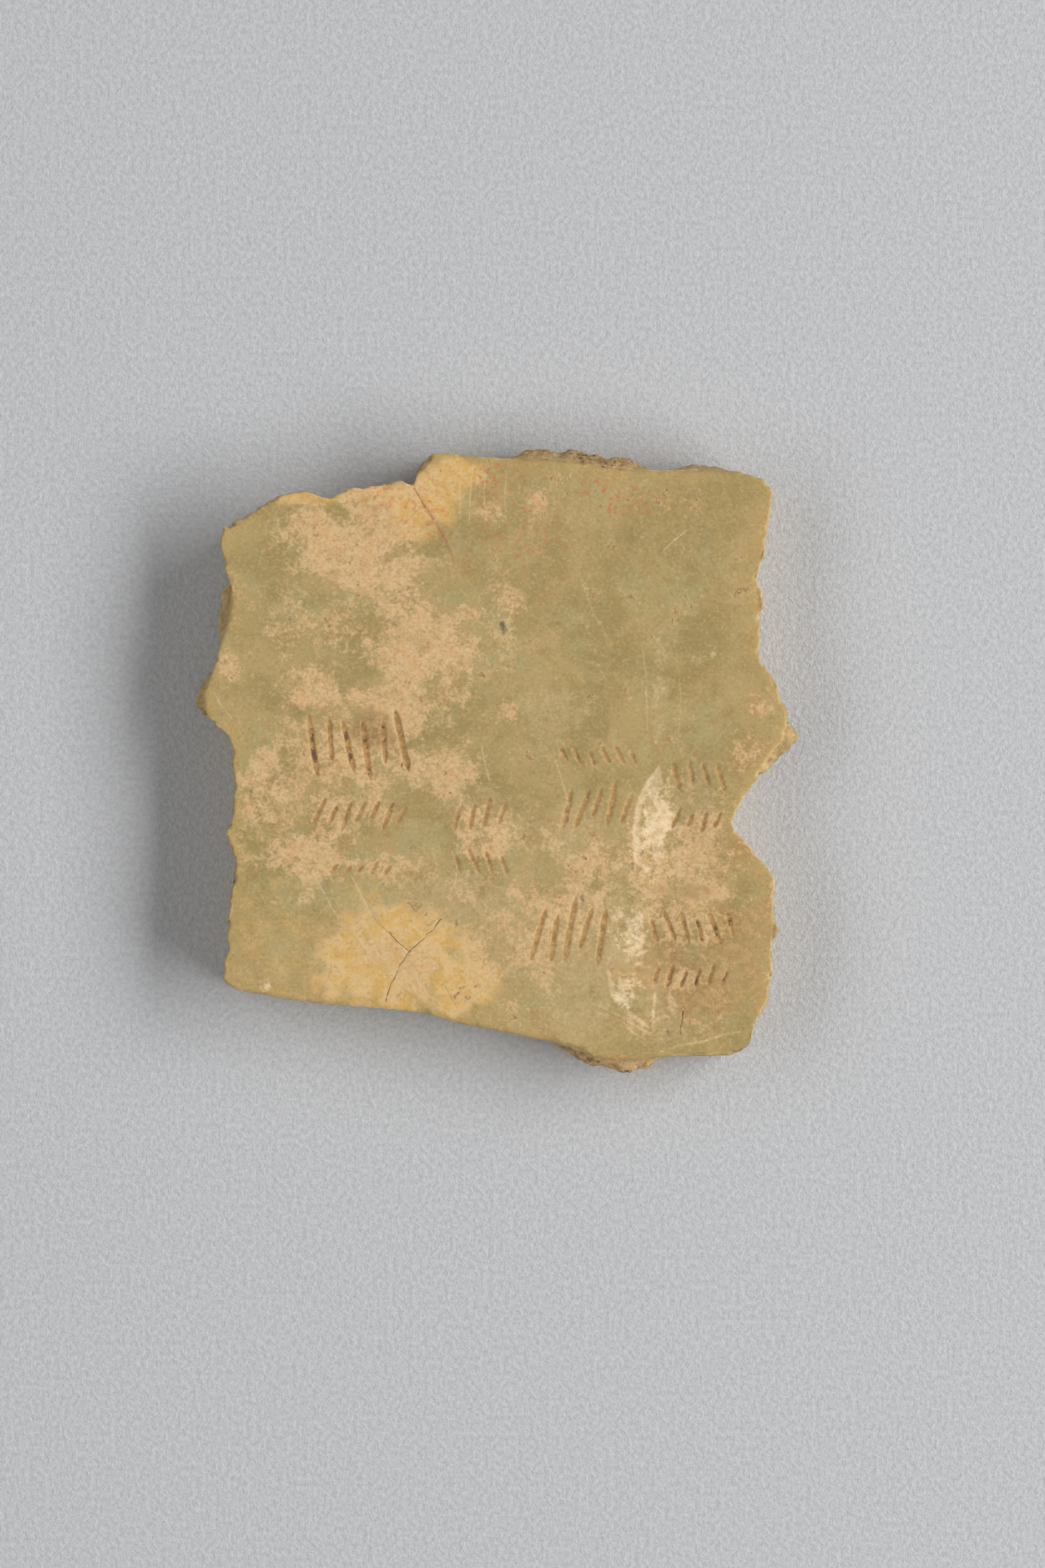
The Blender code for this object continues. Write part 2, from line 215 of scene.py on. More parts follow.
# ------------------------------------------------ places of the colours
# A patch is an oval of another colour: its middle, half its width and height, its strength, and its turn
# in degrees.
Patch = namedtuple("Patch", "x y wide high strength turn", defaults=(1.0, 0.0))
PATCHES = {
    "cream": (
        (-9.1, 13.3, 4.1, 2.8, 1.15, -8), (-8.3, 16.0, 1.8, 1.7, 1.1), (-4.8, 7.2, 3.3, 3.2, 1.1),
        (-6.2, 3.6, 2.4, 2.0, 1.1), (-6.0, 9.6, 2.2, 1.6, 0.7), (-10.4, 8.6, 3.0, 3.0, 0.4),
        (-11.0, 4.3, 3.0, 1.6, 0.8), (-9.0, 0.4, 5.4, 3.4, 0.6), (-9.6, -3.0, 3.4, 2.4, 0.6),
        (-12.7, 9.0, 2.4, 2.2, 0.5), (-13.8, -1.5, 2.6, 3.2, 0.8), (-11.6, -6.0, 3.6, 1.7, 0.9),
        (-6.8, -6.4, 3.6, 1.2, 0.5), (-15.0, -4.5, 1.4, 2.0, 0.5), (-3.3, -0.4, 2.4, 1.8, 0.8),
        (-0.8, -5.2, 1.6, 3.0, 0.8), (0.3, 9.3, 1.4, 2.2, 0.55), (0.6, 5.8, 1.2, 1.6, 0.5),
        (0.7, 3.0, 1.2, 1.0, 0.55), (11.6, -6.5, 3.8, 4.4, 0.8), (14.6, -5.3, 1.6, 1.4, 0.4),
        (12.2, -10.8, 2.4, 2.4, 0.6), (4.2, -9.4, 3.2, 2.6, 0.75), (3.6, -5.6, 2.6, 1.8, 0.4),
        (10.6, -16.4, 3.4, 1.4, 0.45), (6.2, -6.2, 2.2, 1.1, 0.7), (16.3, 3.4, 0.9, 0.9, 0.5),
        (15.8, 0.35, 1.2, 1.2, 0.5), (13.3, 6.8, 0.6, 0.6, 0.4), (-0.3, 15.7, 1.0, 0.8, 0.8),
        (1.9, 16.2, 0.9, 1.2, 0.8), (-14.6, -14.3, 0.4, 0.4), (-16.8, 6.0, 0.7, 1.2, 0.7),
        (-17.1, -1.6, 0.5, 2.6, 0.8), (-12.7, -8.7, 1.3, 0.5, 0.5), (0.6, -11.4, 4.6, 4.6, 0.5),
        (-6.5, -12.5, 3.0, 2.0, 0.8), (-6.4, 13.5, 1.6, 1.4, 0.8), (-8.2, 8.6, 1.6, 1.6, 0.6),
        (12.0, -13.9, 1.3, 1.0),
    ),
    "deep": (
        (12.3, 15.2, 4.8, 3.2), (-13.0, 15.8, 1.8, 1.2, 0.9), (-13.6, 8.4, 1.6, 1.6, 0.7),
        # the last is painted shade on the sloping facet of the chip
        (14.8, 1.0, 1.6, 2.0, 0.8), (13.6, -18.1, 3.0, 0.7, 1.0, 12),
    ),
    "orange": (
        (-6.8, -12.5, 5.6, 3.6), (-2.6, -14.0, 2.6, 2.2), (-8.0, 17.2, 5.0, 1.2), (-4.5, 16.2, 2.2, 2.4),
        (-12.5, 16.5, 1.5, 0.6), (-3.0, 18.0, 2.4, 0.9), (-13.0, -12.0, 4.0, 4.0, 0.35),
        (-17.4, -1.2, 0.5, 1.6, 0.8),
    ),
    "light": (
        (5.4, -12.6, 3.6, 5.6), (-1.5, -9.5, 4.6, 2.6), (-1.0, -3.4, 2.6, 2.8, 0.8),
        (3.6, 2.6, 2.6, 2.4, 0.7), (11.4, -14.6, 3.0, 2.6, 0.8), (-9.6, 6.4, 2.6, 2.0, 0.6),
        (-11.0, 11.4, 2.4, 1.6, 0.6), (-7.4, -9.6, 4.0, 1.2, 0.6), (4.2, -4.2, 1.8, 1.8, 0.8),
        (12.2, -2.4, 1.8, 2.2, 0.8),
    ),
    "brown": (
        (-8.1, 2.1, 1.3, 1.1), (11.6, -8.2, 1.6, 0.6, 0.6),
    ),
    "tan": (
        (11.1, -12.7, 4.2, 2.9, 0.8), (12.6, -14.6, 3.2, 1.8), (11.6, 16.0, 1.7, 0.6, 0.4),
        (-9.4, 1.6, 3.6, 4.0, 0.6), (14.8, -5.8, 1.9, 2.2, 0.8), (15.8, 0.35, 1.2, 1.2, 0.8),
        (16.3, 3.4, 0.9, 0.9, 0.8), (14.8, -12.6, 2.6, 4.2, 0.9), (7.6, -19.2, 3.0, 0.9),
    ),
    "pale": (
        # the first three are whitish altered stone with a painted sheen, in the hollows at the lower right
        (10.1, -4.4, 1.5, 2.6, 0.95, -4), (8.3, -11.3, 1.2, 2.2, 0.5, 20), (8.2, -14.6, 1.1, 1.6, 0.5, -20),
        (-14.5, -14.2, 0.3, 0.3),
    ),
    "cinnabar": (
        (7.2, 16.6, 2.3, 1.4, 0.8), (-0.5, 17.8, 0.8, 0.9, 0.8), (2.0, 16.0, 0.6, 0.6, 0.6),
        (-1.5, 16.4, 0.5, 0.5, 0.6), (1.0, 15.0, 3.0, 4.0, 0.3), (-4.6, 15.6, 2.2, 2.2, 0.6),
        (-7.4, 16.6, 1.6, 0.9, 0.7),
    ),
    "grey": (
        (0.35, 8.3, 0.32, 0.66, 1.0, 12), (-17.35, 9.35, 0.25, 0.25),
    ),
}

# A streak is a fine line of another colour: half its width at its widest, its strength, and its path.
STREAKS = {
    # painted sheen and highlights, partly on whitish stone: the lit edges of the hollows at the lower right,
    # a faint sheen, and a lit line along the chip's step
    "sheen": (
        (0.4, 0.8, (10.15, -0.5), (9.4, -1.7), (8.95, -2.8), (8.75, -4.3), (8.8, -6.2), (9.7, -7.3)),
        (0.8, 0.6, (10.2, -0.4), (9.9, -1.8), (9.6, -3.0), (9.6, -5.0)),
        (0.5, 0.35, (8.4, -9.5), (7.9, -10.8), (7.2, -12.0), (6.9, -13.0)),
        (1.0, 0.5, (9.0, -9.6), (8.5, -11.4), (8.1, -12.8)),
        (0.4, 0.55, (6.9, -12.9), (7.3, -14.6), (8.1, -15.8), (9.6, -16.9)),
        (0.35, 0.85, (7.7, -13.6), (7.9, -14.6), (8.3, -15.7)),
        (0.2, 0.8, (9.95, -14.6), (9.9, -15.4), (9.8, -16.4)),
        (0.5, 0.6, (10.8, -14.6), (11.0, -15.4), (11.3, -16.3)),
        (1.0, 0.3, (10.2, 7.8), (10.4, 4.5), (10.0, 1.0)),
        (0.17, 0.5, (16.2, -16.95), (14.2, -17.3), (13.1, -17.7), (11.5, -17.95), (9.9, -18.5)),
        (0.2, 0.5, (-17.9, 4.4), (-17.4, 3.4), (-16.7, 2.6)),
    ),
    "scratch": (
        (0.05, 1.0, (10.4, 13.1), (11.2, 13.9), (12.0, 14.5)),
        (0.08, 0.8, (-11.9, -6.5), (-11.0, -8.2), (-10.0, -10.0)),
        (0.05, 0.9, (-9.2, -7.2), (-8.6, -8.4), (-7.8, -10.0)),
        (0.06, 0.8, (-2.2, -2.0), (-2.45, -4.6), (-2.6, -7.8)),
        (0.05, 0.9, (-1.0, 1.0), (-0.8, 0.0), (-0.5, -1.2)),
        (0.05, 0.9, (3.7, 0.0), (4.2, -1.6), (4.6, -3.2)),
        (0.05, 0.5, (-5.0, 16.4), (-3.6, 17.6)),
        (0.06, 0.8, (-1.5, 18.6), (-1.7, 16.6), (-1.75, 14.9)),
        (0.05, 0.8, (-0.7, 18.4), (-0.8, 17.0), (-0.75, 15.9)),
        (0.05, 0.6, (-2.2, 18.8), (-2.35, 17.2), (-2.3, 15.2)),
        (0.05, 0.6, (0.6, 18.2), (0.5, 16.8), (0.55, 15.2)),
        (0.05, 0.5, (9.0, 8.2), (9.4, 5.2), (9.5, 1.4)),
        (0.05, 0.45, (11.3, 7.0), (11.6, 4.0), (11.4, 0.8)),
        (0.05, 0.4, (5.2, 11.8), (6.0, 9.4), (6.9, 7.8)),
        (0.05, 0.5, (7.8, -2.6), (8.3, -4.2), (8.4, -6.0)),
        (0.04, 0.5, (5.9, -15.6), (8.0, -16.8), (10.0, -18.0)),
        (0.04, 0.6, (6.3, -15.4), (8.4, -16.5), (10.4, -17.6)),
        (0.04, 0.4, (6.9, -15.3), (8.6, -16.2), (10.8, -17.5)),
        (0.04, 0.5, (7.4, -15.9), (9.0, -16.9), (10.3, -17.8)),
    ),
    "vein": (
        (0.16, 1.0, (-5.4, 17.4), (-4.8, 16.35), (-3.8, 14.9), (-3.0, 13.3), (-2.7, 12.4)),
        (0.07, 0.7, (-4.6, 16.2), (-5.3, 15.5), (-5.9, 14.8)),
        (0.08, 0.7, (-6.4, 13.4), (-6.9, 13.0), (-7.0, 12.5), (-7.25, 11.9)),
        (0.1, 0.7, (-6.1, 10.4), (-5.5, 10.2), (-4.6, 9.6), (-3.9, 9.1), (-3.3, 8.8)),
        (0.07, 0.6, (-11.3, -15.2), (-10.95, -14.3), (-10.6, -13.6), (-10.4, -12.9)),
        (0.06, 0.5, (-11.3, -12.6), (-10.4, -12.9), (-10.0, -13.1)),
        (0.08, 0.7, (-8.6, -11.7), (-8.2, -12.3)),
        (0.1, 0.7, (-4.6, -10.6), (-3.9, -10.1)),
        (0.06, 0.6, (-3.4, -14.0), (-2.7, -15.3), (-2.3, -16.0)),
        (0.07, 0.7, (-7.9, -9.8), (-7.0, -10.7), (-6.3, -11.6)),
        (0.07, 0.6, (-16.8, 1.0), (-16.2, 1.5), (-15.6, 2.0), (-15.2, 2.2)),
    ),
}
PATCH_SEED = 40.0  # of the first colour, and 3 more for each after it
PATCH_COARSE = (2.6, 3)  # the noises of the patches' edges: wavelength, octaves
PATCH_FINE = (0.9, 3)
PATCH_EDGE = (0.3, 1.5)  # where a patch starts to fade and ends, as shares of its size
FOOT_FADE = 0.6  # how much weaker the patches are on the underside
RIM_ROW = 4  # the edge's row that lies along the rim
RIM_BAND = 1.6  # how far in from the rim the stone looks yellower, where light comes through it


def angle_of(x, y):
    return math.atan2(y, x) % math.tau


def smooth(value, low=0.0, high=1.0):
    """0 below low and 1 above high, with a soft step between them."""
    share = np.clip((np.asarray(value, float) - low) / (high - low), 0.0, 1.0)
    return share * share * (3.0 - 2.0 * share)


def fractal(points, wavelength, octaves, seed):
    """Fractal noise at each point, about -1 to 1."""
    shift = Vector((seed, 2.0 * seed, -seed))
    rate = 1.0 / wavelength
    return np.array([noise.fractal(Vector(p) * rate + shift, 1.0, 2.0, octaves) for p in points])


def cell_distance(points, pitch, seed):
    """How far each point is from the nearest of many scattered ones, as a share of their pitch."""
    shift = Vector((seed, -seed, seed))
    return np.array([noise.voronoi(Vector(p) / pitch + shift)[0][0] for p in points])


def pits(points, pitch, seed):
    """0 to 1: how deep each point is in one of many round pits."""
    return 1.0 - smooth(cell_distance(points, pitch, seed), 0.15, 0.5)


def bowls(points, pitch, seed):
    """0 on the arrises between the shallow bowls that stone breaks into, and 1 in the middle of a bowl."""
    return 1.0 - np.minimum(cell_distance(points, pitch, seed) / 0.8, 1.0) ** 2


def distance_to(path, points):
    """(distance from each point to the path, how far along the path that is, 0 to 1)."""
    path = np.array(path, float)
    steps = np.linalg.norm(np.diff(path, axis=0), axis=1)
    start = np.concatenate(([0.0], np.cumsum(steps))) / steps.sum()
    best = np.full(len(points), np.inf)
    along = np.zeros(len(points))
    for k, (first, second) in enumerate(zip(path, path[1:])):
        run = second - first
        share = np.clip((points[:, :2] - first) @ run / (run @ run), 0.0, 1.0)
        away = np.linalg.norm(points[:, :2] - first - share[:, None] * run, axis=1)
        nearer = away < best
        best = np.where(nearer, away, best)
        along = np.where(nearer, start[k] + share * (start[k + 1] - start[k]), along)
    return best, along


class Solid:
    """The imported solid, read in millimetres."""

    def __init__(self, node):
        self.shape = bmesh.new()
        self.shape.from_mesh(node.data)
        bmesh.ops.scale(self.shape, vec=(1 / MM,) * 3, verts=self.shape.verts)
        bmesh.ops.remove_doubles(self.shape, verts=self.shape.verts, dist=1e-4)
        self.shape.normal_update()
        self.tree = BVHTree.FromBMesh(self.shape)
        self.top = max(v.co.z for v in self.shape.verts)
        self.far = 2 * max(v.co.length for v in self.shape.verts)

    def radius(self, turn, height):
        """How far from the middle the stone reaches in this direction, at this height."""
        outward = Vector((math.cos(turn), math.sin(turn), 0.0))
        start = outward * self.far + Vector((0.0, 0.0, height))
        return self.tree.ray_cast(start, -outward)[0].xy.length

    def section(self, turn, rim):
        """[(radius, height)] down the stone's edge in this direction."""
        outward = Vector((math.cos(turn), math.sin(turn), 0.0))
        half = self.top / 2
        pivot = outward * (rim - PIVOT_INSET) + Vector((0.0, 0.0, half))
        first = math.atan2(half, PIVOT_INSET - FACE_INSET)
        last = -math.atan2(half, PIVOT_INSET - FOOT_INSET)
        found = []
        for tilt in np.linspace(first, last, EDGE_RAYS):
            hit = self.tree.ray_cast(pivot, outward * math.cos(tilt) + Vector((0.0, 0.0, math.sin(tilt))))[0]
            found.append((hit.xy.length, hit.z))
        return np.array(found)

    def drop(self, x, y, side):
        """(height, steepness) where a vertical ray from this side, 1 above or -1 below, meets the stone."""
        for nudge in RAY_NUDGES:
            start = Vector((x + nudge, y, side * self.far))
            place, normal, _, _ = self.tree.ray_cast(start, Vector((0.0, 0.0, -side)))
            if (place.z - self.top / 2) * side > 0.0:
                break
        return place.z, 1.0 - abs(normal.z)

    def creases(self, least, inside):
        """The solid's sharp edges on the face, as [(end, end)]."""
        found = []
        for edge in self.shape.edges:
            ends = [v.co for v in edge.verts]
            on_face = all(p.z > self.top / 2 and inside(p.x, p.y) for p in ends)
            if on_face and edge.calc_face_angle(0.0) > least:
                found.append([p.xy for p in ends])
        return found


def evened(grid, rounds):
    """A grid of the edge with each value nearer its neighbours'. Its end rows mix only along themselves."""
    grid = grid.copy()
    for _ in range(rounds):
        grid = (np.roll(grid, 1, axis=1) + 2.0 * grid + np.roll(grid, -1, axis=1)) / 4.0
        grid[1:-1] = (grid[:-2] + 2.0 * grid[1:-1] + grid[2:]) / 4.0
    return grid


class Edge:
    """The stone's edge as a grid: EDGE_ROWS rows down, and a column for each direction."""

    def __init__(self, solid):
        self.turns, self.rim = self.columns(solid)
        self.radius, self.height = self.read(solid)
        self.worked = self.worked_share()
        self.radius = evened(self.radius, FACET_ROUNDS)
        self.height = evened(self.height, FACET_ROUNDS)
        self.stand = self.worn_stand()

    def columns(self, solid):
        """(direction, radius of the rim) of the columns, which lie evenly along the rim."""
        turns = np.linspace(0.0, math.tau, RIM_TURNS, endpoint=False)
        radii = np.array([solid.radius(turn, solid.top - RIM_DEPTH) for turn in turns])
        place = np.column_stack((radii * np.cos(turns), radii * np.sin(turns)))
        run = np.linalg.norm(np.roll(place, -1, axis=0) - place, axis=1)
        along = np.concatenate(([0.0], np.cumsum(run)))
        count = round(along[-1] / COLUMN_PITCH)
        even = np.interp(np.arange(count) * along[-1] / count, along, np.append(turns, math.tau))
        return even, np.interp(even, turns, radii, period=math.tau)

    def read(self, solid):
        """(radii, heights) of the grid, closer together near the face."""
        rows = np.linspace(0.0, 1.0, EDGE_ROWS)
        rows = rows * (EDGE_TOP_SHARE + (1.0 - EDGE_TOP_SHARE) * rows)
        radius = np.empty((EDGE_ROWS, len(self.turns)))
        height = np.empty((EDGE_ROWS, len(self.turns)))
        for i, (turn, rim) in enumerate(zip(self.turns, self.rim)):
            line = solid.section(turn, rim)
            step = np.linalg.norm(np.diff(line, axis=0), axis=1)
            length = np.concatenate(([0.0], np.cumsum(step)))
            radius[:, i] = np.interp(rows * length[-1], length, line[:, 0])
            height[:, i] = np.interp(rows * length[-1], length, line[:, 1])
        return radius, height

    def worked_share(self):
        """1 at each column of a worked edge and 0 at a broken one."""
        worked = np.zeros(len(self.turns))
        for first, last in WORKED_EDGES:
            start, end = angle_of(*first), angle_of(*last)
            span = (end - start) % math.tau
            within = (self.turns - start) % math.tau
            ends = np.minimum(within, span - within) * self.rim
            worked = np.maximum(worked, smooth(ends, 0.0, WORKED_FADE) * (within < span))
        return worked

    def worn_stand(self):
        """How far the crust stands out, with worn ends, lumps and gaps, which the grid gets too."""
        stand = np.maximum(self.radius - self.rim, 0.0) * self.worked
        worn = evened(stand, CRUST_WEAR)
        lumps = fractal(self.points().reshape(-1, 3), *CRUST_LUMPS).reshape(worn.shape)
        worn = np.maximum(worn * (0.9 + 0.9 * lumps), 0.0) * (stand > 0.0)
        self.radius += worn - stand
        return worn

    def points(self):
        x, y = self.radius * np.cos(self.turns), self.radius * np.sin(self.turns)
        return np.stack((x, y, self.height), axis=-1)

    def normals(self):
        grid = self.points()
        around = np.roll(grid, -1, axis=1) - np.roll(grid, 1, axis=1)
        down = np.gradient(grid, axis=0)
        out = np.cross(down, around)
        return out / np.linalg.norm(out, axis=-1, keepdims=True)

    def reach(self, turn):
        """The radius of the first row in this direction."""
        return np.interp(turn, self.turns, self.radius[0], period=math.tau)


def break_relief(flat, coarse, fine):
    """How far a break is moved at each point: rough, with shallow scars and upright splinters."""
    scars = 0.65 * bowls(flat, *LARGE_SCARS) + 0.35 * bowls(flat, *SMALL_SCARS)
    splinters = np.abs(fractal(flat * UPRIGHT, *SPLINTERS))
    rough = BREAK_ROUGH[0] * coarse + BREAK_ROUGH[1] * fine
    return rough - SCAR_DEPTH * (scars - SCAR_MEAN) - SPLINTER_DEPTH * (splinters - SPLINTER_MEAN)


def rim_relief(edge, rows):
    """How far the rim is moved: the solid's chamfer is even, and a broken rim is sharp, with small bites."""
    below = smooth(edge.height - edge.height[0], *CORNER_BELOW)
    corner = below * smooth(edge.radius - edge.rim, *CORNER_INSIDE)
    move = RIM_SHARPEN * corner * (1.0 - WORKED_KEEN * edge.worked)
    bites = smooth(fractal(edge.points()[0], *BITES), 0.05, 0.5)
    bites *= BITE_DEPTH * (1.0 - edge.worked) + WORKED_BITE_DEPTH * edge.worked
    return move - bites * smooth(rows, 0.0, END_SHARE) * (1.0 - smooth(rows, *BITE_ROWS))


def carve_edge(edge):
    """(points, how broken, how near a crust) of the edge's grid, roughened."""
    grid = edge.points()
    flat = grid.reshape(-1, 3)
    shape = grid.shape[:2]
    rows = np.arange(EDGE_ROWS)[:, None] / (EDGE_ROWS - 1)
    crust = smooth(edge.stand, CRUST_STAND / 2, CRUST_STAND)
    broken = (1.0 - edge.worked) * smooth(rows, *BREAK_ROWS)
    coarse, fine = fractal(flat, *COARSE), fractal(flat, *FINE)
    crumbled = CRUST_ROUGH[0] * coarse + CRUST_ROUGH[1] * fine - PIT_DEPTH * pits(flat, *CRUST_PITS)
    move = broken * break_relief(flat, coarse, fine).reshape(shape)
    move += WORKED_ROUGH * edge.worked * fine.reshape(shape)
    move += crust * crumbled.reshape(shape)
    move += rim_relief(edge, rows)
    ends = smooth(rows, 0.0, END_SHARE) * smooth(1.0 - rows, 0.0, END_SHARE)
    soiled = np.maximum(0.8 * crust, CRUST_SPREAD * evened(crust, SPREAD_ROUNDS))
    return grid + edge.normals() * (move * ends)[..., None], broken, soiled


class Net:
    """A triangulation of what a closed line encloses, with lines held as edges in it."""

    def __init__(self, outline, lines, points):
        placed = [Vector(p) for p in outline]
        edges = [(i, (i + 1) % len(placed)) for i in range(len(placed))]
        for line in lines:
            edges += [(k, k + 1) for k in range(len(placed), len(placed) + len(line) - 1)]
            placed += [Vector(p) for p in line]
        placed += [Vector(p) for p in points]
        flat, _, faces, origins, _, _ = delaunay_2d_cdt(placed, edges, [], 1, 1e-4)
        self.points = np.array(flat)
        self.faces = np.array(faces)
        self.on_outline = np.full(len(flat), -1)
        for i, origin in enumerate(origins):
            if origin and min(origin) < len(outline):
                self.on_outline[i] = min(origin)
        self.inner = self.on_outline < 0
        ends = np.concatenate([self.faces[:, [0, 1]], self.faces[:, [1, 2]], self.faces[:, [2, 0]]])
        self.ends = np.concatenate([ends, ends[:, ::-1]])
        self.degree = np.bincount(self.ends[:, 0], minlength=len(flat))

    def mean_of_neighbours(self, values):
        return np.bincount(self.ends[:, 0], values[self.ends[:, 1]], len(values)) / self.degree

    def blur(self, values, rounds, only=1.0):
        for _ in range(rounds):
            values = values + 0.5 * only * (self.mean_of_neighbours(values) - values)
        return values

    def joined(self, points, outline):
        """The points, with those on the outline put where it lies."""
        on_rim = ~self.inner
        points[on_rim] = outline[self.on_outline[on_rim]]
        return points


def divided(line, pitch):
    """A line's points, with more between them so that none is further than pitch from the next."""
    points = []
    for start, end in zip(line, line[1:]):
        start, end = Vector(start), Vector(end)
        steps = max(1, math.ceil((end - start).length / pitch))
        points += [start.lerp(end, k / steps) for k in range(steps)]
    return points + [Vector(line[-1])]


def crack_line(path):
    """A crack's path with the small jogs that a crack makes."""
    line = divided(path, CRACK_PITCH)
    for point in line[1:-1]:
        jog = noise.noise_vector(point.to_3d() * CRACK_JOGS)
        point += jog.xy * CRACK_JOG
    return line


def beside(line, offset):
    """The line moved sideways by this much, to its left where it is positive."""
    moved = []
    for i, point in enumerate(line):
        ahead = line[min(i + 1, len(line) - 1)] - line[max(i - 1, 0)]
        moved.append(point + Vector((-ahead.y, ahead.x)).normalized() * offset)
    return moved


def lattice(pitch, half):
    """(x, y, whether it is also a point of the lattice of twice this pitch) over a square."""
    count = math.ceil(half / pitch)
    for j in range(-count, count + 1):
        for i in range(-count, count + 1):
            yield (i + 0.5 * (j % 2)) * pitch, j * pitch * math.sqrt(0.75), i % 2 == 0 and j % 2 == 0


def near_tree(lines):
    tree = kdtree.KDTree(sum(len(line) for line in lines))
    for k, point in enumerate(p for line in lines for p in line):
        tree.insert(point.to_3d(), k)
    tree.balance()
    return tree


def face_net(solid, edge, outline, cracks):
    """The net of the face, finer near its cuts, cracks and streaks."""

    def inside(x, y):
        return math.hypot(x, y) < edge.reach(angle_of(x, y)) - NET_CLEAR

    def held(lines):
        """The lines without those of their points that lie outside."""
        return [[p for p in line if inside(p.x, p.y)] for line in lines]

    creases = [divided(line, FINE_PITCH) for line in solid.creases(CREASE_ANGLE, inside)]
    cracked = held(beside(line, side * CRACK_WIDTH / 2) for line in cracks for side in (-1.0, 0.0, 1.0))
    hairlines = held(divided(path, FINE_PITCH) for _, _, *path in STREAKS["scratch"] + STREAKS["vein"])
    chip = held([divided(CHIP, FINE_PITCH)])
    lines = creases + cracked + hairlines + chip
    near = near_tree(lines)
    drawn = [divided(path, FINE_PITCH) for streaks in STREAKS.values() for _, _, *path in streaks]
    near_drawn = near_tree(drawn + chip)
    points = []
    for x, y, coarse in lattice(FINE_PITCH, max(edge.rim)):
        if not inside(x, y):
            continue
        distance = near.find((x, y, 0.0))[2]
        fine = distance < FINE_REACH or near_drawn.find((x, y, 0.0))[2] < DRAWN_REACH
        if distance > LINE_CLEAR * FINE_PITCH and (coarse or fine):
            points.append((x, y))
    return Net(outline, lines, points)


def heights(net, solid, side):
    """(height, steepness) of the solid at each of the net's points."""
    return np.array([solid.drop(x, y, side) for x, y in net.points]).T


def without_cuts(net, height, steep):
    """The face's heights as they were before its strokes were cut."""
    cut = steep > CUT_STEEP
    cut |= net.mean_of_neighbours(cut.astype(float)) > 0.0
    cut &= net.inner
    filled = height.copy()
    known = (~cut).astype(float)
    while known.min() == 0.0:
        around = net.mean_of_neighbours(known)
        value = net.mean_of_neighbours(filled * known) / np.maximum(around, 1e-9)
        filled = np.where(cut & (around > 0.0), value, filled)
        known = np.maximum(known, around > 0.0)
    return filled


def smeared(net, values, share):
    """The values with a tail towards +X, which has this share of them."""
    first, second = net.ends.T
    ahead = net.points[second, 0] - net.points[first, 0] > 0.3 * FINE_PITCH
    tail = np.zeros(len(values))
    np.maximum.at(tail, second[ahead], values[first[ahead]] * share)
    return np.maximum(values, tail)


def crack_depth(net, cracks):
    """0 to 1 at each point: 1 at the bottom of a crack, 0 at its lips."""
    tree = near_tree([divided(line, CRACK_WIDTH / 5) for line in cracks])
    near = np.array([tree.find((x, y, 0.0))[2] for x, y in net.points])
    return 1.0 - smooth(near, 0.0, CRACK_WIDTH / 2)


def carve_face(net, solid, rim_points, cracks):
    """(points, depth of the cuts, cracks, stain about the cuts) of the face."""
    height, steep = heights(net, solid, 1)
    before = without_cuts(net, height, steep)
    depth = np.maximum(before - height, 0.0)
    flaked = ((steep > FLAKE_STEEP) & (depth < LEAST_CUT)).astype(float)
    flaked = np.minimum(4.0 * net.blur(flaked, 3), 1.0)
    before = net.blur(net.blur(before, FACE_ROUNDS, only=1.0 - flaked), 1)
    flat = np.column_stack((net.points, np.zeros(len(net.points))))
    inner = net.blur(net.inner.astype(float), INNER_ROUNDS) * net.inner
    # Soil has narrowed the cuts. Each has a sharp wall on its left, and runs out gently to its right.
    depth = smeared(net, np.maximum(depth - CUT_NARROWED, 0.0), CUT_TAIL)
    uneven = 1.0 + 0.3 * fractal(flat, *CUT_FILL_NOISE)
    shown = CUT_FILL * np.tanh(depth * uneven / (1.4 * CUT_FILL))
    before += inner * (SWELL_DEPTH * fractal(flat, *FACE_SWELL) + RIPPLE_DEPTH * fractal(flat, *FACE_RIPPLE))
    cracked = crack_depth(net, cracks)
    split = inner * cracked * CRACK_DEPTH * (0.6 + 0.4 * fractal(flat, *CRACK_NOISE))
    near_cut = np.minimum(net.blur((depth > LEAST_CUT).astype(float), 4) * 4.0, 1.0) * inner
    sway = np.array([noise.noise_vector(Vector(p) / WOBBLE_LENGTH)[:2] for p in flat])
    flat[:, :2] += sway * (near_cut * CUT_WOBBLE)[:, None]
    flat[:, 2] = before - shown - split
    stain = np.minimum(net.blur(depth, STAIN_ROUNDS) * 14.0, 1.0)
    return net.joined(flat, rim_points), depth, cracked * inner, stain


def carve_underside(net, solid, rim_points):
    height, _ = heights(net, solid, -1)
    height = net.blur(height, 3, only=net.inner)
    flat = np.column_stack((net.points, height))
    rough = np.maximum(UNDER_DEPTH * fractal(flat, *UNDER_NOISE), 0.0) + 0.1 * np.maximum(height, 0.0)
    flat[:, 2] += rough * net.inner
    return net.joined(flat, rim_points)


def grid_faces(rows, columns):
    """The quads of a grid that closes on itself sideways."""
    number = np.arange(rows * columns).reshape(rows, columns)
    beside = np.roll(number, -1, axis=1)
    return np.stack((number[:-1], number[1:], beside[1:], beside[:-1]), axis=-1).reshape(-1, 4).tolist()


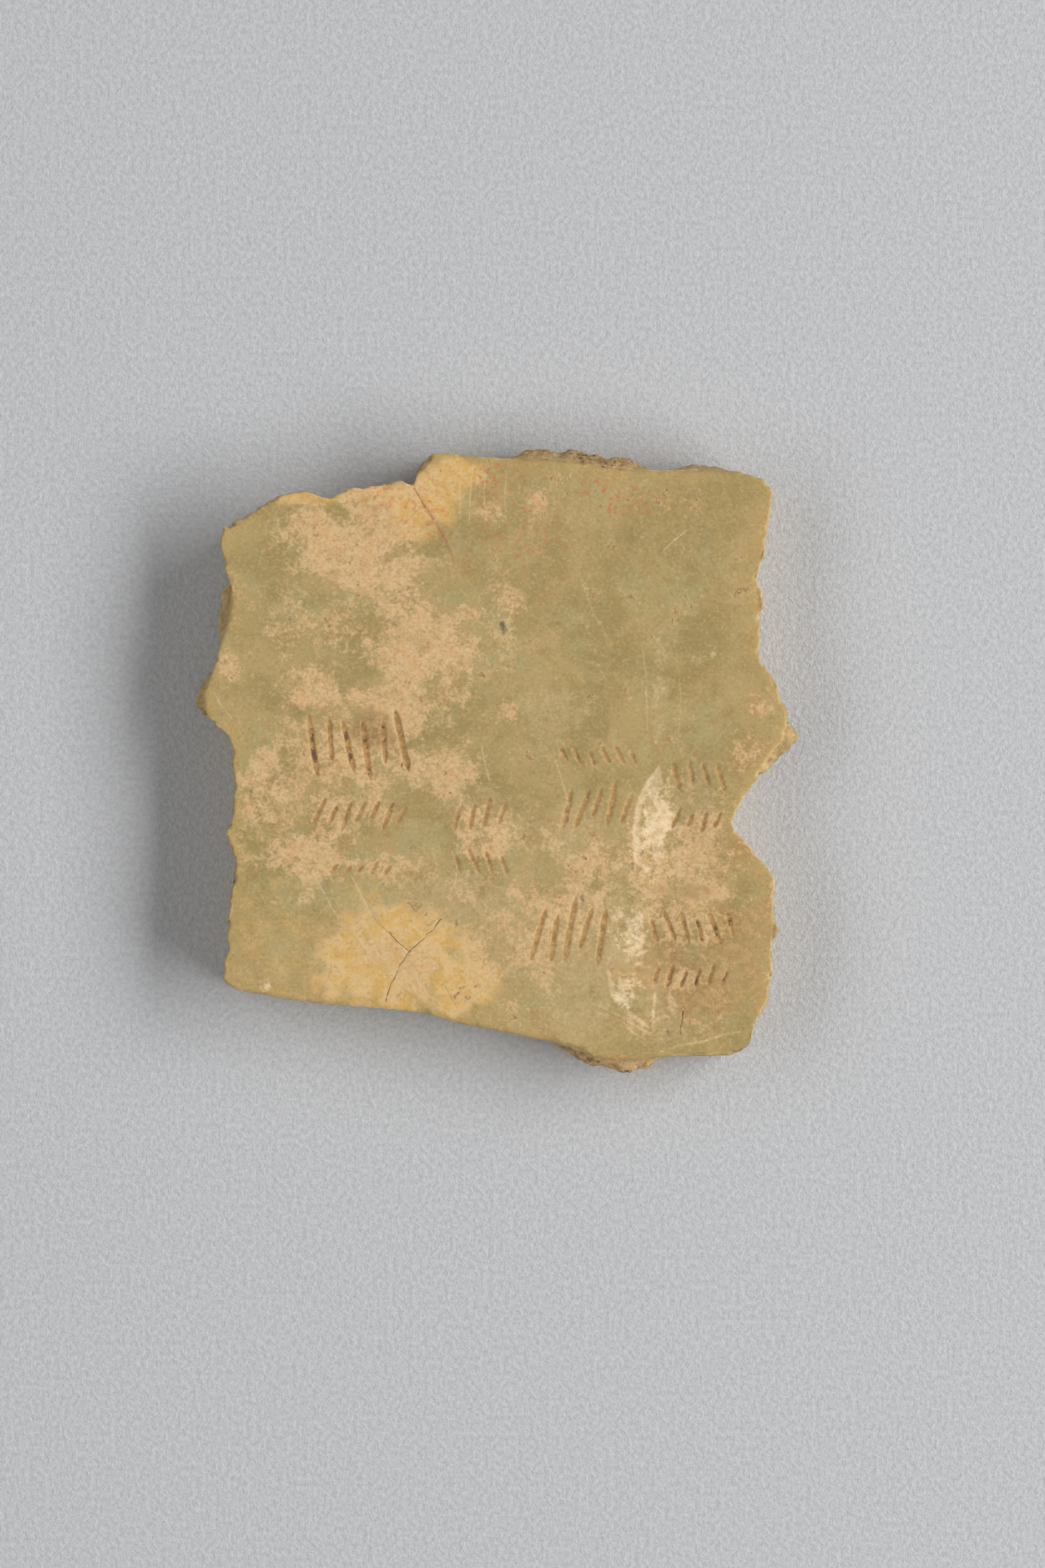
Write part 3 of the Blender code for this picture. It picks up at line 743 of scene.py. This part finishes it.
def cap_faces(net, first_rim, first_inner, flip):
    """The net's triangles, its outline's points numbered from first_rim and the others from first_inner."""
    number = np.where(net.inner, first_inner + np.cumsum(net.inner) - 1, first_rim + net.on_outline)
    faces = number[net.faces]
    corners = net.points[net.faces]
    along, across = corners[:, 1] - corners[:, 0], corners[:, 2] - corners[:, 0]
    turned = (along[:, 0] * across[:, 1] - along[:, 1] * across[:, 0] < 0.0) != flip
    faces[turned] = faces[turned, ::-1]
    return faces.tolist()


def patch_field(points, patches, seed):
    """0 to 1: how far inside one of these patches each point is. Noise makes the patches' edges irregular."""
    ragged = 0.5 * fractal(points, *PATCH_COARSE, seed) + 0.3 * fractal(points, *PATCH_FINE, seed + 1.0)
    value = np.zeros(len(points))
    for patch in starmap(Patch, patches):
        turn = math.radians(patch.turn)
        x, y = points[:, 0] - patch.x, points[:, 1] - patch.y
        across = (x * math.cos(turn) + y * math.sin(turn)) / patch.wide
        up = (y * math.cos(turn) - x * math.sin(turn)) / patch.high
        reach = np.hypot(across, up) + ragged
        value = np.maximum(value, patch.strength * (1.0 - smooth(reach, *PATCH_EDGE)))
    return value


def chip_off(points, top):
    """Takes the chip off the rim: outside its line the stone slopes away from the face."""
    away, along = distance_to(CHIP, points)
    run = np.array(CHIP[-1]) - np.array(CHIP[0])
    side = (points[:, 1] - CHIP[0][1]) * run[0] - (points[:, 0] - CHIP[0][0]) * run[1]
    outside = np.where(side < 0.0, away, 0.0)
    faded = smooth(np.minimum(along, 1.0 - along), 0.0, CHIP_FADE)
    drop = CHIP_SLOPE * outside * faded * (1.0 + 0.25 * fractal(points, *CHIP_NOISE))
    chipped = np.minimum(points[:, 2], top - drop)
    points[:, 2] = np.where(points[:, 2] > top / 2, chipped, points[:, 2])


def streak_field(points, streaks, height):
    """0 to 1: how far inside one of these streaks each point of the face is."""
    value = np.zeros(len(points))
    for width, strength, *path in streaks:
        away, along = distance_to(path, points)
        wide = width * np.sqrt(np.maximum(4.0 * along * (1.0 - along), 0.02))
        value = np.maximum(value, strength * (1.0 - smooth(away / wide, 0.2, 1.0)))
    return value * (points[:, 2] > height)


def rim_field(edge, points):
    """1 at the rim of the face, falling to 0 within it and down the edge."""
    near = near_tree([[Vector(p) for p in edge.points()[RIM_ROW]]])
    return np.array([1.0 - min(near.find(p)[2] / RIM_BAND, 1.0) for p in points])


def under_net(edge, foot):
    """The net of the underside, inside the edge's last row."""
    reach = np.linalg.norm(foot[:, :2], axis=1)

    def inside(x, y):
        return math.hypot(x, y) < np.interp(angle_of(x, y), edge.turns, reach, period=math.tau) - UNDER_CLEAR

    points = [(x, y) for x, y, _ in lattice(UNDER_PITCH, max(edge.rim)) if inside(x, y)]
    return Net(foot[:, :2], [], points)


def drawn_fields(points, top):
    """{name: value at each point} of the patches and the streaks."""
    lower = 1.0 - FOOT_FADE * (1.0 - smooth(points[:, 2], 0.0, top))
    fields = {}
    for k, (name, patches) in enumerate(PATCHES.items()):
        fields[name] = patch_field(points, patches, PATCH_SEED + 3.0 * k) * lower
    for name, streaks in STREAKS.items():
        fields[name] = streak_field(points, streaks, top / 2)
    return fields


def skin(solid):
    """(points, faces, {name: value at each point}) of the whole skin."""
    edge = Edge(solid)
    grid, broken, crust = carve_edge(edge)
    cracks = [crack_line(path) for path in CRACKS]
    face = face_net(solid, edge, grid[0][:, :2], cracks)
    face_points, *face_fields = carve_face(face, solid, grid[0], cracks)
    under = under_net(edge, grid[-1])
    under_points = carve_underside(under, solid, grid[-1])
    points = np.concatenate((grid.reshape(-1, 3), face_points[face.inner], under_points[under.inner]))
    first_face = broken.size
    first_under = first_face + face.inner.sum()
    faces = grid_faces(*broken.shape)
    faces += cap_faces(face, 0, first_face, False)
    faces += cap_faces(under, first_face - len(edge.turns), first_under, True)
    chip_off(points, solid.top)
    points[:, 2] = np.maximum(points[:, 2], 0.0)
    fields = {"rim": rim_field(edge, points)}
    for name, values in zip(("cut", "crack", "stain"), face_fields):
        fields[name] = np.zeros(len(points))
        fields[name][first_face:first_under] = values[face.inner]
    for name, values in (("broken", broken), ("crust", crust)):
        fields[name] = np.zeros(len(points))
        fields[name][:first_face] = values.ravel()
    return points, faces, fields | drawn_fields(points, solid.top)


def placed(name, data):
    """A new object of the scene."""
    made = bpy.data.objects.new(name, data)
    bpy.context.scene.collection.objects.link(made)
    return made


def mesh_piece(name, points, faces, fields):
    mesh = bpy.data.meshes.new(name)
    mesh.from_pydata((points * MM).tolist(), [], faces)
    for field, values in fields.items():
        mesh.attributes.new(field, "FLOAT", "POINT").data.foreach_set("value", values.astype(np.float32))
    mesh.shade_smooth()
    return placed(name, mesh)


class Graph:
    """A material's nodes, made one call at a time. Its places are in millimetres."""

    def __init__(self, name):
        self.material = bpy.data.materials.new(name)
        self.material.use_nodes = True
        self.tree = self.material.node_tree
        self.tree.nodes.clear()
        place = self.node("TexCoord").outputs["Object"]
        self.place = self.moved(place, scale=(1 / MM,) * 3)

    def node(self, kind, inputs=(), **settings):
        made = self.tree.nodes.new("ShaderNode" + kind)
        for key, value in settings.items():
            setattr(made, key, value)
        for key, value in dict(inputs).items():
            if isinstance(value, bpy.types.NodeSocket):
                self.tree.links.new(value, made.inputs[key])
            else:
                made.inputs[key].default_value = value
        return made

    def moved(self, place, turn=(0.0, 0.0, 0.0), scale=(1.0, 1.0, 1.0)):
        turn = [math.radians(angle) for angle in turn]
        return self.node("Mapping", {"Vector": place, "Rotation": turn, "Scale": scale}).outputs[0]

    def field(self, name):
        return self.node("Attribute", attribute_name=name).outputs["Fac"]

    def math(self, operation, first, second=0.0):
        return self.node("Math", {0: first, 1: second}, operation=operation).outputs[0]

    def add(self, *values):
        return reduce(lambda total, value: self.math("ADD", total, value), values)

    def times(self, *values):
        return reduce(lambda total, value: self.math("MULTIPLY", total, value), values)

    def step(self, value, low, high, start=0.0, end=1.0):
        """start below low, end above high, with a soft step between them."""
        inputs = {"Value": value, "From Min": low, "From Max": high, "To Min": start, "To Max": end}
        return self.node("MapRange", inputs, interpolation_type="SMOOTHSTEP").outputs["Result"]

    def noise(self, pitch, detail=4.0, roughness=0.55, distortion=0.0, place=None):
        inputs = {
            "Vector": place or self.place,
            "Scale": 1.0 / pitch,
            "Detail": detail,
            "Roughness": roughness,
            "Distortion": distortion,
        }
        return self.node("TexNoise", inputs).outputs["Fac"]

    def cells(self, pitch, place=None, **settings):
        inputs = {"Vector": place or self.place, "Scale": 1.0 / pitch}
        return self.node("TexVoronoi", inputs, **settings).outputs["Distance"]

    def mix(self, share, first, second, blend="MIX"):
        made = self.node("Mix", {0: share, 6: first, 7: second}, data_type="RGBA", blend_type=blend)
        return made.outputs[2]

    def lines(self, turn, pitch, length, width):
        """Thin wandering lines in this direction: the contours of a noise that is drawn out along it."""
        place = self.moved(self.place, turn=(0.0, 0.0, turn))
        place = self.moved(place, scale=(1.0, pitch / length, 1.0))
        level = self.noise(pitch, 2.0, 0.5, place=place)
        away = self.math("ABSOLUTE", self.math("SUBTRACT", level, 0.5))
        return self.step(away, 0.0, width, 1.0, 0.0)

    def finished(self, looks, relief, strength, depth):
        """The material with these looks, and with the relief as a bump."""
        bump = self.node("Bump", {"Strength": strength, "Distance": depth * MM, "Height": relief})
        shader = self.node("BsdfPrincipled", {**looks, "Normal": bump.outputs[0]})
        self.node("OutputMaterial", {"Surface": shader.outputs[0]})
        return self.material


def tone(color):
    """The shader's colour that looks like this sRGB one under the studio's lights."""
    linear = [((c / 255 + 0.055) / 1.055) ** 2.4 / STUDIO_LEVEL for c in color]
    return (*linear, 1.0)


class Stone(Graph):
    """The jade's nodes: the noises that its layers share, and the colour that they build up."""

    def __init__(self):
        super().__init__("jade")
        self.turned = self.moved(self.place, (31, 17, 23))
        self.blotch = self.noise(1.7, 3.0, 0.6)
        self.felt = self.noise(0.45, 4.0, 0.6, 0.3, place=self.turned)
        self.grain = self.noise(0.2, 4.0, 0.6, 0.5, place=self.turned)
        self.blush = self.noise(1.0, 3.0, 0.6, 0.4, place=self.moved(self.place, (0, 0, 70)))
        shares = ((self.blotch, 2.2), (self.felt, 1.7), (self.grain, 0.9))
        self.ragged = self.add(*(self.around(value, amount) for value, amount in shares))
        self.color = self.mottled(OLIVE, self.noise(4.5, 4.0, 0.55, 0.4), 0.38, 0.62)

    def around(self, value, amount):
        """A noise made to vary about zero, by this much."""
        return self.times(self.math("SUBTRACT", value, 0.5), amount)

    def inside(self, name):
        return self.step(self.field(name), 0.02, 0.25)

    def cover(self, name, low=0.25, high=0.75, spread=1.0):
        """How far a patch covers the stone: its field, broken up at every scale by the felted fibres."""
        field = self.add(self.field(name), self.times(self.ragged, spread))
        return self.times(self.step(field, low, high), self.inside(name))

    def mottled(self, pair, value=None, low=0.36, high=0.64):
        """A noise's mixture of two sRGB colours."""
        return self.mix(self.step(value or self.felt, low, high), *map(tone, pair))

    def over(self, base, share, color, amount=1.0):
        """The base with a colour over it: share says where, and amount how much of it at most."""
        if isinstance(color, tuple):
            color = tone(color)
        return self.mix(self.times(share, amount), base, color)

    def lay(self, share, color, amount=1.0):
        self.color = self.over(self.color, share, color, amount)


def ground(g):
    """Greener, browner and paler clouds in the olive stone, and its larger areas of other tones, with painted
    light along the rim and painted shade on the chip's facet.
    """
    g.lay(g.step(g.noise(2.8, 3.0, 0.6), 0.5, 0.66), GREEN_OLIVE, 0.7)
    g.lay(g.step(g.noise(2.2, 4.0, 0.6), 0.52, 0.68), BROWN_OLIVE, 0.6)
    g.lay(g.step(g.blotch, 0.45, 0.7), PALE_OLIVE, 0.4)
    # painted light: a yellower band along the rim, where light comes through the stone
    g.lay(g.times(g.field("rim"), g.step(g.blotch, 0.2, 0.6)), RIM_GLOW_OLIVE, 0.75)
    # the darker areas, with painted shade on the chip's sloping facet
    g.lay(g.cover("deep", 0.1, 0.9, 0.4), g.mottled(DEEP_OLIVE_AND_CHIP_SHADE), 0.6)
    g.lay(g.cover("light", 0.1, 0.9, 0.4), g.mottled(LIGHT_OLIVE), 0.75)
    g.lay(g.cover("orange", 0.0, 1.0, 0.22), g.mottled(AMBER, g.blush, 0.36, 0.6), 0.9)
    g.lay(g.cover("tan", 0.15, 1.0, 0.8), g.mottled(TAN), 0.8)


def weathering(g):
    """Cream: specks all over the stone, thicker about the cuts, which run together in its patches."""
    flesh = g.mottled(CREAM)
    flesh = g.over(flesh, g.step(g.blush, 0.48, 0.64), CREAM_BLUSH, 0.7)
    flesh = g.over(flesh, g.step(g.grain, 0.45, 0.68), CREAM_GRAIN, 0.5)
    flesh = g.over(flesh, g.step(g.blotch, 0.52, 0.36), CREAM_SHADE, 0.5)
    field = g.field("cream")
    cream = g.step(g.add(field, g.times(g.field("stain"), 0.25), g.ragged), 0.2, 0.88)
    g.lay(g.times(cream, g.step(field, 0.0, 1.0, 0.62, 0.9)), flesh)
    g.lay(g.times(g.step(g.noise(0.6, 3.0, 0.6), 0.62, 0.72), cream), SMUDGE, 0.5)
    g.lay(g.cover("brown"), g.mottled(BROWN), 0.6)
    return cream


def traces_and_highlights(g):
    """Pale areas of whitish stone under a painted sheen, painted sheen and highlight lines, red specks, the
    grey spot, a yellow glaze, and a painted highlight along the rim.
    """
    # whitish stone under a painted sheen
    g.lay(g.cover("pale", spread=0.55), g.mottled(PEARL_AND_SHEEN), 0.85)
    # painted sheen and highlight lines
    g.lay(g.cover("sheen", 0.1, 0.9, 0.35), g.mottled(SHEEN_HIGHLIGHT), 0.55)
    g.lay(g.times(g.field("cinnabar"), g.step(g.noise(0.36, 3.0, 0.6), 0.53, 0.61)), RED, 0.8)
    g.lay(g.cover("grey", 0.3, 0.8), GREY, 0.85)
    glaze = g.step(g.noise(1.6, 5.0, 0.6, place=g.moved(g.place, (0, 0, 40))), 0.4, 0.64)
    g.color = g.mix(g.times(glaze, 0.9), g.color, YELLOW_GLAZE, "MULTIPLY")
    # a painted highlight along the rim
    g.lay(g.times(g.step(g.field("rim"), 0.88, 0.97), g.step(g.blotch, 0.44, 0.58)), RIM_HIGHLIGHT, 0.55)


def breaks(g):
    """(where, height of the splinters) of the breaks, which are browner than the face, with whitish splinters
    under painted highlights and painted shade between them.
    """
    broken = g.field("broken")
    splinter = g.noise(0.5, 5.0, 0.6, place=g.moved(g.place, scale=(1.0, 1.0, 0.35)))
    torn = g.mottled(TORN, g.noise(2.4, 5.0, 0.6), 0.36, 0.62)
    # whitish splinters with painted highlights on their ridges, and painted shade between them
    torn = g.over(torn, g.step(splinter, 0.5, 0.64), SPLINTER_PALE_AND_HIGHLIGHT, 0.7)
    torn = g.over(torn, g.step(splinter, 0.46, 0.34), SPLINTER_SHADE, 0.5)
    g.lay(broken, torn, 0.68)
    height = g.add(g.times(splinter, 5.0), g.times(g.cells(0.8, feature="F1"), 3.0))
    return broken, height


def crusts(g):
    """(where, height of its relief) of the porous crust: soil with crumbs, and painted shade in its hollows.
    """
    crust = g.step(g.add(g.field("crust"), g.around(g.blotch, 2.0), g.around(g.felt, 1.6)), 0.4, 0.62)
    hollow = g.step(g.noise(0.5, 3.0, 0.6), 0.43, 0.36)
    crumb = g.step(g.noise(0.32, 3.0, 0.6, place=g.turned), 0.56, 0.64)
    earth_and_shade = g.mottled(EARTH, g.noise(1.1, 6.0, 0.7), 0.36, 0.6)
    earth_and_shade = g.over(earth_and_shade, g.inside("tan"), g.mottled(TAN_EARTH), 0.7)
    earth_and_shade = g.over(earth_and_shade, crumb, CRUMB, 0.6)
    # painted shade in the hollows
    earth_and_shade = g.over(earth_and_shade, hollow, HOLLOW_SHADE, 0.7)
    g.lay(crust, earth_and_shade, 0.92)
    height = g.add(g.times(g.noise(0.25, 5.0, 0.7), 4.0), g.times(crumb, 3.0), g.times(hollow, -5.0))
    return crust, height


def soiled_cuts(g):
    """Soil in the cuts, darker and with dark remains where the stone is tan."""
    cut = g.field("cut")
    darker = g.step(g.field("tan"), 0.02, 0.25, 0.3, 1.0)
    soil = g.step(g.add(cut, g.times(g.ragged, 0.05)), 0.01, 0.07)
    g.lay(soil, g.mix(darker, g.mottled(LIGHT_SOIL), g.mottled(DARK_SOIL)), 0.85)
    deepest = g.step(g.add(cut, g.around(g.grain, 0.1)), 0.05, 0.1)
    residue = g.times(g.step(g.noise(0.9, 4.0, 0.7), 0.53, 0.59), deepest)
    g.lay(g.times(residue, darker), RESIDUE, 0.8)
    return soil


def cracks_and_veins(g):
    crack = g.times(g.step(g.field("crack"), 0.1, 0.7), g.step(g.noise(0.9, 3.0), 0.3, 0.45))
    vein = g.field("vein")
    g.lay(crack, g.over(g.mottled(CRACK, g.blush, 0.42, 0.56), g.step(vein, 0.1, 0.4), RED_CRACK), 0.9)
    g.lay(g.times(vein, g.step(g.felt, 0.38, 0.5)), VEIN, 0.55)


def scratches(g):
    """The drawn scratches, and faint hairlines in two directions."""
    steep = g.times(g.lines(86, 0.6, 16.0, 0.005), g.step(g.noise(3.6, 2.0), 0.5, 0.62))
    elsewhere = g.noise(4.2, 2.0, place=g.moved(g.place, (0, 0, 70)))
    slanted = g.times(g.lines(-50, 0.7, 14.0, 0.004), g.step(elsewhere, 0.55, 0.65))
    drawn = g.times(g.field("scratch"), g.step(g.felt, 0.35, 0.5))
    scratch = g.math("MAXIMUM", g.times(g.add(steep, slanted), 0.35), drawn)
    g.lay(scratch, SCRATCH, 0.5)
    return scratch


def pits_and_grain(g, broken):
    """Small pits, dark flecks in the weathered areas, and the stone's fine grain."""
    pit = g.times(g.step(g.cells(0.5), 0.06, 0.16, 1.0, 0.0), g.step(g.noise(1.7, 3.0), 0.54, 0.62))
    g.lay(pit, PIT, 0.3)
    fleck = g.cells(1.5, place=g.moved(g.place, (0, 0, 35), (1.0, 0.5, 1.0)))
    fleck = g.step(g.add(fleck, g.around(g.grain, 0.12)), 0.04, 0.12, 1.0, 0.0)
    worn = g.add(g.field("cream"), g.field("orange"), g.times(broken, -2.0))
    g.lay(g.times(fleck, g.step(g.noise(2.6, 3.0), 0.44, 0.52), g.step(worn, 0.1, 0.5)), FLECK, 0.7)
    g.lay(g.step(g.grain, 0.5, 0.72), LIGHT_GRAIN, 0.34)
    g.lay(g.step(g.grain, 0.5, 0.28), DARK_GRAIN, 0.28)
    return pit


def jade():
    """Olive to cream nephrite with a soft polish, worn, scratched, and stained where it was buried, with
    sheen, highlights and shade painted into its colour in places.
    """
    g = Stone()
    ground(g)
    cream = weathering(g)
    traces_and_highlights(g)
    broken, splintered = breaks(g)
    crust, crumbled = crusts(g)
    soil = soiled_cuts(g)
    cracks_and_veins(g)
    scratch = scratches(g)
    pit = pits_and_grain(g, broken)
    rough = g.add(
        ROUGHNESS,
        g.times(cream, 0.1),
        g.times(g.math("MAXIMUM", broken, soil), 0.22),
        g.times(crust, 0.36),
        g.around(g.blotch, 0.25),
    )
    relief = g.add(
        g.times(g.grain, 0.4),
        g.times(g.felt, 0.9),
        g.times(scratch, -0.4),
        g.times(pit, -0.8),
        g.times(cream, 0.3),
        g.times(broken, splintered),
        g.times(crust, crumbled),
    )
    polish = {
        "Base Color": g.color,
        "Roughness": rough,
        "Specular IOR Level": 0.2,
        "Subsurface Weight": 0.25,
        "Subsurface Radius": (1.2, 1.0, 0.45),
        "Subsurface Scale": 0.35 * MM,
    }
    return g.finished(polish, relief, 1.0, BUMP)


def paper():
    g = Graph("paper")
    tooth = g.noise(0.32, 5.0, 0.7)
    color = g.mix(g.step(tooth, 0.3, 0.7), *map(tone, PAPER))
    return g.finished({"Base Color": color, "Roughness": 0.9}, tooth, 0.6, PAPER_BUMP)


def floor():
    mesh = bpy.data.meshes.new("floor")
    corners = [(x * FLOOR_HALF, y * FLOOR_HALF, 0.0) for x, y in ((-1, -1), (1, -1), (1, 1), (-1, 1))]
    mesh.from_pydata(corners, [], [(0, 1, 2, 3)])
    mesh.materials.append(paper())
    placed("floor", mesh)


def area_light(name, azimuth, elevation, distance, wide, high, power):
    """A soft rectangular light that looks at the stone."""
    lamp = bpy.data.lights.new(name, "AREA")
    lamp.shape = "RECTANGLE"
    lamp.size = wide
    lamp.size_y = high
    lamp.energy = power
    made = placed(name, lamp)
    turn, rise = math.radians(azimuth), math.radians(elevation)
    toward = Vector((math.cos(turn) * math.cos(rise), math.sin(turn) * math.cos(rise), math.sin(rise)))
    made.location = toward * distance
    made.rotation_euler = toward.to_track_quat("Z", "Y").to_euler()


def studio():
    world = bpy.data.worlds.new("studio")
    world.use_nodes = True
    sky = world.node_tree.nodes["Background"].inputs
    sky["Color"].default_value = (1.0, 1.0, 1.0, 1.0)
    sky["Strength"].default_value = WORLD_STRENGTH
    bpy.context.scene.world = world
    bpy.context.scene.view_settings.view_transform = "Standard"
    for light in LIGHTS:
        area_light(*light)


def camera(box):
    """Looks straight down on the stone."""
    low, high = (Vector(corner) for corner in box)
    data = bpy.data.cameras.new("camera")
    data.sensor_width = SENSOR
    data.lens = SENSOR * CAMERA_HEIGHT / VIEW_HEIGHT
    data.clip_start = 0.01
    made = placed("camera", data)
    middle = (low + high) / 2
    made.location = (middle.x + VIEW_SHIFT[0], middle.y + VIEW_SHIFT[1], high.z + CAMERA_HEIGHT)
    bpy.context.scene.camera = made


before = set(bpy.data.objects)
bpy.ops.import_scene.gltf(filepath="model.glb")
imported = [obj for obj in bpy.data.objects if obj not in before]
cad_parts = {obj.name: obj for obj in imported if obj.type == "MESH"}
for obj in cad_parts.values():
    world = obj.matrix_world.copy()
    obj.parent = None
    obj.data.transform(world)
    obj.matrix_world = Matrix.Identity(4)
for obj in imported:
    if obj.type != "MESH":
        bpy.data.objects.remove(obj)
cad_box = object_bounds()
noise.seed_set(NOISE_SEED)
solid = Solid(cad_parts[STONE])
piece = mesh_piece("jade_skin", *skin(solid))
piece.data.materials.append(jade())
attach(piece, "root")
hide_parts(STONE)
floor()
studio()
camera(cad_box)
